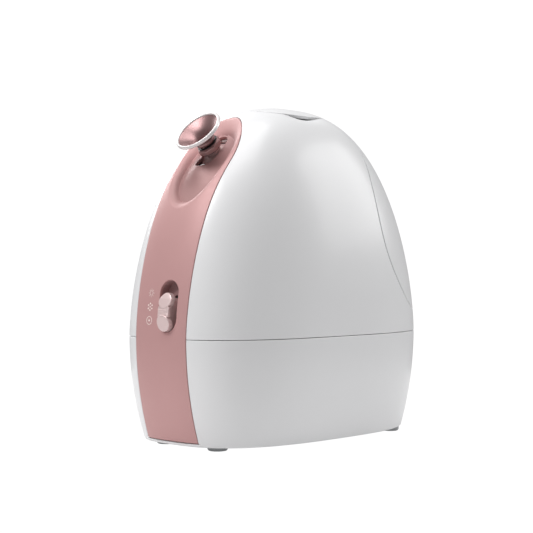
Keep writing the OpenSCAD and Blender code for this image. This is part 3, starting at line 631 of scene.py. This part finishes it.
def rose_strip():
    nozzle_slot = stadium((0, NOZZLE_SLOT_Z), NOZZLE_SLOT_W, NOZZLE_SLOT_HALF, AIM.y * -1)
    switch_slot = stadium((SWITCH_X, SWITCH_Z), SLOT_HALF_W, SLOT_HALF_L)
    t = np.linspace(0, 2 * np.pi, 170, endpoint=False)
    rings = []
    for shape, steps in ((RECESS_FLOOR, (0.90, 0.96, 0.99, 0.998, 1.002, 1.01, 1.035, 1.07, 1.11, 1.15)),
                         (RECESS_RIM, (0.95, 0.975, 0.993, 1.0, 1.02))):
        for step in steps:
            x, z = 30 * np.cos(t), RECESS_Z + 30 * np.sin(t)
            for _ in range(12):
                r = oval_ratio(x, z, shape) / step
                x, z = x / r, RECESS_Z + (z - RECESS_Z) / r
            rings.append(np.stack([x, z], -1))
    fill = flat_fill((-28, 5), (28, 232), 2.0)
    clear = (oval_ratio(*fill.T, RECESS_FLOOR) < 0.86) | (oval_ratio(*fill.T, RECESS_RIM) > 1.05)
    fill = np.vstack([fill[clear], *rings])
    piece = plate("rose_strip", strip_surface, one,
                  [(strip_outline(), 0.25, 0.4), ([nozzle_slot], 0, 0.35), ([switch_slot], 0, 0.4)],
                  fill, STRIP_T, 1.2, 0.8)
    shade(ROSE, *RECESS_SHADE)
    dress(piece, ROSE)
    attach(piece, "housing")
    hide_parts("front_panel")


upper_shell()
base_shell()
cover_shell()
rose_strip()

# ---- nozzle ----


def nozzle_matrix():
    """Places a piece made round the Z axis, with its origin at the tilt pivot."""
    x = Vector((1, 0, 0))
    y = AIM.cross(x)
    turn = Matrix((x, y, AIM)).transposed().to_4x4()
    return Matrix.Translation(PIVOT * MM) @ turn


def lathe(name, profile, segments=96):
    """Solid of revolution about Z of a closed profile of radius and height."""
    n = len(profile)
    t = np.arange(segments) * 2 * np.pi / segments
    points = [(r * math.cos(a), r * math.sin(a), z) for a in t for r, z in profile]
    starts = [(i * n, (i + 1) % segments * n) for i in range(segments)]
    faces = [(here + j, ahead + j, ahead + (j + 1) % n, here + (j + 1) % n)
             for here, ahead in starts for j in range(n)]
    piece = mesh_object(name, points, faces)
    piece.data.set_sharp_from_angle(angle=math.radians(40))
    return piece


def finish(piece, look, body, slot, *nodes, place=None):
    """Dresses a piece, places it, and ties it to its body and replaced nodes; the slot is not used."""
    dress(piece, look)
    if place is not None:
        piece.data.transform(place)
    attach(piece, body)
    if nodes:
        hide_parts(*nodes)
    return piece


def ease_edges(piece, angle):
    """Small bevels along a piece's sharp edges."""
    bevel = piece.modifiers.new("edges", "BEVEL")
    bevel.width, bevel.segments = 0.25 * MM, 2
    bevel.limit_method, bevel.angle_limit = "ANGLE", angle
    return bevel


NOZZLE = nozzle_matrix()


# Radius and height above the tilt pivot
DISH_BACK = np.array([[4.0, 27.6], [5.6, 27.8], [6.9, 28.8], [7.4, 30.1], [7.1, 31.3], [6.5, 32.1],
                      [7.4, 32.9], [10.2, 34.1], [13.4, 35.7], [16.0, 37.7], [16.4, 38.6]])
DISH_BOWL = np.array([[16.2, 39.3], [14.6, 38.5], [12.2, 37.3], [9.4, 35.7], [7.2, 34.0], [5.6, 31.8],
                      [4.5, 28.8], [3.6, 25.0], [2.7, 20.0], [2.2, 16.5]])
DISH_RING = [[15.9, 38.3], [16.4, 37.5], [17.2, 37.4], [17.8, 38.2],
             [17.8, 39.4], [17.2, 40.2], [16.4, 40.2], [15.9, 39.6]]
DISH_FOOT = 15.0
STEM_BORE, STEM_R, STEM_LOW, STEM_TOP = 4.05, 5.6, 16.5, 25.5
COLLAR_SIDES, COLLAR_R, COLLAR_BORE = 8, 9.2, 6.05
COLLAR_RINGS = (22.5, -0.6), (22.9, 0), (25.9, 0), (26.4, -0.35), (27.3, -1.9)   # height, widening
# Black rings in the gaps under and over the collar: painted shade standing in for the shadow there
SHADOW_RINGS = (22.1, 22.6, 8.0), (27.1, 27.5, 7.7)                # low, high, radius
SHIELD_R, SHIELD_HALF_W, SHIELD_HALF_L = 19.2, 8.8, 18.0
LINERS = ("upper", 224.6, 4.6), ("lower", 193.7, 5.2)         # middle height, half height
LINER_HALF_W, LINER_DEPTH, LINER_T = 9, 2.5, 1.2


def dish():
    """The bell with its throat, and the bright ring round it."""
    profile = np.vstack([[[DISH_BACK[0, 0], DISH_FOOT]], smooth_line(DISH_BACK, 4),
                         smooth_line(DISH_BOWL, 4), [[DISH_BOWL[-1, 0], DISH_FOOT]]])
    finish(lathe("dish_bell", profile), BOWL, "dish", "rose_metal", "nozzle_dish", place=NOZZLE)
    ring = lathe("dish_ring", rounded(DISH_RING, 0.6))
    finish(ring, BRIGHT, "dish", "bright_rim", "dish_rim", place=NOZZLE)


def collar():
    """The eight-sided nut under the dish, between two black rings of painted shade that stand in for the
    shadowed gaps above and below it.
    """
    rings = [(z, COLLAR_R + wider) for z, wider in COLLAR_RINGS]
    rings += [(COLLAR_RINGS[-1][0], COLLAR_BORE), (COLLAR_RINGS[0][0], COLLAR_BORE)]
    sides, n = COLLAR_SIDES, len(rings)
    corners = [(i + 0.5) * 2 * np.pi / sides for i in range(sides)]
    points = [(r * math.cos(a), r * math.sin(a), z) for z, r in rings for a in corners]
    faces = [(k * sides + i, k * sides + (i + 1) % sides,
              (k + 1) % n * sides + (i + 1) % sides, (k + 1) % n * sides + i)
             for k in range(n) for i in range(sides)]
    piece = mesh_object("faceted_collar", points, faces)
    sharp = math.radians(20)
    piece.data.set_sharp_from_angle(angle=sharp)
    ease_edges(piece, sharp)
    finish(piece, ROSE_METAL, "turret", "rose_metal", "nozzle_collar", place=NOZZLE)
    # the black rings paint the shadow in the collar's gaps
    for k, (low, high, radius) in enumerate(SHADOW_RINGS):
        outline = [[COLLAR_BORE, low], [radius, low], [radius, high], [COLLAR_BORE, high]]
        shadow_ring = lathe(f"collar_shadow_ring_{k}", rounded(outline, 0.2))
        finish(shadow_ring, BLACK, "turret", "black_plastic", place=NOZZLE)


def shield():
    """The curved shield that fills the nozzle's slot and its stem, and the liners at the slot's ends."""
    def barrel(q):
        angle = q[:, 1] / SHIELD_R
        normal = np.stack([0 * angle, np.sin(angle), np.cos(angle)], -1)
        return normal * SHIELD_R + np.stack([q[:, 0], 0 * angle, 0 * angle], -1), normal
    outline = stadium((0, 0), SHIELD_HALF_W, SHIELD_HALF_L)[::-1]
    piece = plate("turret_shield", barrel, one, [([outline], 0, 0.3)],
                  flat_fill((-9, -19), (9, 19), 1.2), 2.0, 0.8, 0.4)

    def behind_strip(q):
        where, normal = strip_surface(q)
        return where - normal * LINER_DEPTH, normal
    t = np.linspace(0, 2 * np.pi, 61)
    for end, middle, half in LINERS:
        oval = np.stack([LINER_HALF_W * np.cos(t), middle + half * np.sin(t)], -1)
        across, low, high = LINER_HALF_W + 1, middle - half - 1, middle + half + 1
        liner = plate(f"slot_liner_{end}", behind_strip, one, [([oval], 0, 0.2)],
                      flat_fill((-across, low), (across, high), 1.5), LINER_T, 0.8, 0.4)
        finish(liner, PALE, "housing", "pale_rose")
    stem = lathe("turret_stem", rounded([[STEM_BORE, STEM_LOW], [STEM_R, STEM_LOW],
                                         [STEM_R, STEM_TOP], [STEM_BORE, STEM_TOP]], 0.3))
    for made in (piece, stem):
        finish(made, SHIELD, "turret", "pale_rose", place=NOZZLE)
    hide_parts("nozzle_turret")


dish()
collar()
shield()

# ---- mode slider and icons ----

SWITCH_LEAN = math.atan2(JOINTS["mode_slide"]["axis"][1], JOINTS["mode_slide"]["axis"][2])
REST_SHIFT = -4.1
PADS = {"upper": (7.8, 6.3, 5.5), "lower": (-7.75, 6.2, 5.5)}   # along the slot, half width, half height


def switch_out():
    return np.array([0, -math.cos(SWITCH_LEAN), math.sin(SWITCH_LEAN)])


def switch_plane(q, out):
    """Points of the switch's own plane: q is sideways and along the slot, out stands proud."""
    origin = front_point(np.array([SWITCH_X]), np.array([SWITCH_Z]))[0]
    along = np.array([0, math.sin(SWITCH_LEAN), math.cos(SWITCH_LEAN)])
    return origin + q[:, :1] * [1, 0, 0] + q[:, 1:] * along + np.asarray(out)[:, None] * switch_out()


# The slider's height over the strip, along the slot
RIDGES = np.array([[-13.5, 1.6], [-9, 2.9], [-3.4, 4.7], [-2.4, 4.6],
                   [0, 4.6], [2.4, 4.3], [9, 2.9], [14, 1.2]])
CROWNING = 0.012              # how much the slider falls away sideways
RIB_HEIGHT, RIB_PITCH = 0.14, 1.1


def slider_height(q):
    """How proud the slider stands: a rocker, high in the middle."""
    nearby = np.linspace(-0.5, 0.5, 9)
    height = sum(np.interp(q[:, 1] + d, RIDGES[:, 0], RIDGES[:, 1]) for d in nearby) / len(nearby)
    return height - CROWNING * q[:, 0] ** 2


def grip_height(q):
    """The ribbed bar between the two pads."""
    return 3.9 + RIB_HEIGHT * np.cos(2 * np.pi * q[:, 1] / RIB_PITCH) - CROWNING * q[:, 0] ** 2


def slider_piece(name, outline, height, thickness, rounding):
    def at(q):
        return switch_plane(q + [0, REST_SHIFT], height(q))

    def surface(q):
        h = 0.02
        return at(q), unit(np.cross(at(q + [h, 0]) - at(q - [h, 0]), at(q + [0, h]) - at(q - [0, h])))

    def back(q):
        return switch_plane(q + [0, REST_SHIFT], height(q) - thickness)
    piece = plate(name, surface, one, [([outline], 0, rounding)],
                  flat_fill((-8, -15), (8, 15), 0.45), back, 0.5, 0.4)
    return finish(piece, ROSE_KNOB, "slider", "slider_rose")


def slider():
    t = np.linspace(0, 2 * np.pi, 181)
    for name, (middle, across, along) in PADS.items():
        tip = 1 - 0.22 * ease(np.sin(t)) * (name == "upper")
        outline = np.stack([across * tip * np.cos(t), middle + along * np.sin(t)], -1)
        piece = slider_piece(f"slider_pad_{name}", outline, slider_height, 3.4, 0.55)
    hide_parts("mode_slider")
    grip = rounded([[-5.4, -3.6], [5.4, -3.6], [5.4, 3.6], [-5.4, 3.6]], 1.0)
    slider_piece("slider_grip", np.vstack([grip, grip[:1]]), grip_height, 1.6, 0.4)
    stalk = stadium((0, 0), 3.2, 10.5)[::-1]
    slider_piece("slider_stalk", stalk, lambda q: np.full(len(q), 1.4), 8.4, 0.1)


def pocket():
    """The switch's slot lining: a wall down from the strip and a floor with the slider's slit."""
    def level(out):
        def surface(q):
            return switch_plane(q, np.full(len(q), out)), np.tile(switch_out(), (len(q), 1))
        return surface
    outside = stadium((0, 0), SLOT_HALF_W + 1.3, SLOT_HALF_L + 1.3)[::-1]
    inner = stadium((0, 0), SLOT_HALF_W + 0.15, SLOT_HALF_L + 0.15)
    slit = stadium((0, REST_SHIFT + 4), 2.2, 8.3)
    nothing = np.zeros((0, 2))
    wall = plate("switch_pocket", level(-1.9), one, [([outside], 0, 0.1), ([inner], 0, 0.1)],
                 nothing, 6.1, 0.8, 0.1)
    floor = plate("switch_pocket_floor", level(-7.5), one, [([outside], 0, 0.1), ([slit], 0, 0.2)],
                  nothing, 1.5, 0.8, 0.3)
    for piece in (wall, floor):
        finish(piece, POCKET, "housing", "pocket_rose")
    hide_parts("switch_bezel")


def circle(radius, centre=(0, 0), power=1.0):
    """Closed round outline, a diamond with hollow sides at power 2."""
    t = np.linspace(0, 2 * np.pi, 49)
    shape = np.stack([np.sign(np.cos(t)) * np.abs(np.cos(t)) ** power,
                      np.sign(np.sin(t)) * np.abs(np.sin(t)) ** power], -1)
    return shape * radius + centre


ICON_X, ICON_HEIGHTS, ICON_PROUD = -9.6, (106.6, 97.2, 88.0), 0.07


def icons():
    """Sun, snowflake and ring, printed beside the switch."""
    def surface(q):
        where, normal = strip_surface(q)
        return where + normal * ICON_PROUD, normal

    def mark(name, *loops):
        edges = [([loop], 0, 0.02) for loop in loops]
        made = plate(name, surface, one, edges, np.zeros((0, 2)), 0.06, 0.3, 0.05)
        return finish(made, PRINT, "housing", "print_pale")

    sun, snow, ring = [np.array([ICON_X, z]) for z in ICON_HEIGHTS]
    first = mark("icon_sun", circle(1.7, sun), circle(1.4, sun)[::-1])
    for k in range(8):
        ray = 2.6 * np.array([math.cos(k * np.pi / 4), math.sin(k * np.pi / 4)])
        mark(f"icon_sun_ray_{k}", circle(0.3, sun + ray))
    for k in range(6):
        arm = np.array([math.cos(k * np.pi / 3 + np.pi / 6), math.sin(k * np.pi / 3 + np.pi / 6)])
        mark(f"icon_snow_{k}", circle(0.6, snow + 2.2 * arm))
    mark("icon_snow_middle", circle(0.55, snow))
    mark("icon_ring", circle(2.9, ring), circle(2.5, ring)[::-1])
    mark("icon_ring_diamond", circle(0.9, ring, power=2.0))
    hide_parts("mode_icons")


pocket()
slider()
icons()

# ---- feet, and the CAD pieces that stay ----

FOOT_PLACES = (26, -86), (-26, -86), (43, 78), (-43, 78)


def feet():
    """Rubber pads with a dimple underneath."""
    profile = rounded([[0.05, 3.2], [0.05, 0.6], [3.4, 0.6], [4.0, 0.0],
                       [6.2, 0.0], [7.0, 1.2], [7.0, 3.2]], 0.5)
    for k, (x, y) in enumerate(FOOT_PLACES):
        foot = lathe(f"foot_{k}", profile, 64)
        foot.data.transform(Matrix.Translation((x * MM, y * MM, 0)))
        finish(foot, RUBBER, "housing", "foot_rubber")
        if k == 0:
            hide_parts("feet")


feet()

KEPT = {
    INNER: ["mid_deck", "tank_seat", "bay_wall", "bay_deck", "base_plate", "boiler_lid", "mist_chamber",
            "turret_bracket", "slider_carriage", "valve_plunger"],
    SEAL: ["seat_gasket", "cap_seal"],
    STEEL: ["base_screws", "inlet_pins", "valve_spring", "ultrasonic_disc"],
    CAST: ["boiler"],
    CERAMIC: ["heater_plate"],
    BLACK: ["thermostat", "fan_frame", "fan_rotor", "power_inlet"],
    BOARD: ["main_board", "power_module", "switch_board"],
    HOSE: ["steam_hose", "mist_hose", "feed_hose"],
    LEAD: ["inner_lead"],
    TANK: ["water_tank"],
    CAP: ["tank_cap"],
}


def keep(node, look):
    """A CAD piece that is shown as it is, with its edges eased and a better finish."""
    piece = frame["nodes"][node]
    dress(piece, look)
    weld = piece.modifiers.new("weld", "WELD")
    weld.merge_threshold = 0.002 * MM
    ease_edges(piece, math.radians(40)).use_clamp_overlap = True


for look, names in KEPT.items():
    for name in names:
        keep(name, look)
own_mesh(frame["nodes"]["valve_spring"])

# ---- floor, light ----

LIGHTS = {      # bearing and elevation in degrees, distance and size in metres, watts
    "left_light": (-105, 30, 1.6, 0.9, 13),
    "front_light": (-20, 46, 1.8, 0.7, 17),
    "top_light": (40, 84, 3.0, 2.0, 56),
    "rear_light": (150, 26, 1.6, 0.8, 9),
}
ROOM_LIGHT, PAPER_WHITE = 0.21, 1.05
FLOOR_R, FLOOR_LOW, FLOOR_GLOW = 0.45, 0.0002, 0.24


def make_stage():
    """A pale disc that throws light back up, and that the camera itself doesn't see."""
    bpy.ops.mesh.primitive_circle_add(vertices=128, radius=FLOOR_R, fill_type="NGON",
                                      location=(0, 0, -FLOOR_LOW))
    floor = bpy.context.object
    floor.name = "floor"
    paper = material("pale_floor", (0.55, 0.55, 0.55), 0.9, mottle=0.0)
    shader = paper.node_tree.nodes["Principled BSDF"]
    shader.inputs["Specular IOR Level"].default_value = 0
    shader.inputs["Emission Color"].default_value = (1, 1, 1, 1)
    shader.inputs["Emission Strength"].default_value = FLOOR_GLOW
    dress(floor, paper)
    floor.visible_camera = False


def soft_light(name, azimuth, elevation, distance, size, power):
    """Area light at a bearing round the steamer, aimed at its middle."""
    data = bpy.data.lights.new(name, "AREA")
    data.size, data.energy = size, power
    lamp = bpy.data.objects.new(name, data)
    a, e = math.radians(azimuth), math.radians(elevation)
    back = Vector((math.sin(a) * math.cos(e), -math.cos(a) * math.cos(e), math.sin(e)))
    lamp.location = VIEW_TARGET + back * distance
    lamp.rotation_mode = "QUATERNION"
    lamp.rotation_quaternion = (-back).to_track_quat("-Z", "Y")
    bpy.context.scene.collection.objects.link(lamp)


def make_light():
    """Even room light, a white background, and four soft lamps."""
    world = bpy.data.worlds.new("studio")
    bpy.context.scene.world = world
    world.use_nodes = True
    nodes, links = world.node_tree.nodes, world.node_tree.links
    room = nodes["Background"]
    paper = nodes.new("ShaderNodeBackground")
    for background, strength in ((room, ROOM_LIGHT), (paper, PAPER_WHITE)):
        background.inputs["Color"].default_value = (1, 1, 1, 1)
        background.inputs["Strength"].default_value = strength
    seen = nodes.new("ShaderNodeLightPath")
    mix = nodes.new("ShaderNodeMixShader")
    links.new(seen.outputs["Is Camera Ray"], mix.inputs[0])
    links.new(room.outputs[0], mix.inputs[1])
    links.new(paper.outputs[0], mix.inputs[2])
    links.new(mix.outputs[0], nodes["World Output"].inputs["Surface"])
    for name, values in LIGHTS.items():
        soft_light(name, *values)
    bpy.context.scene.view_settings.view_transform = "Standard"


make_stage()
make_light()
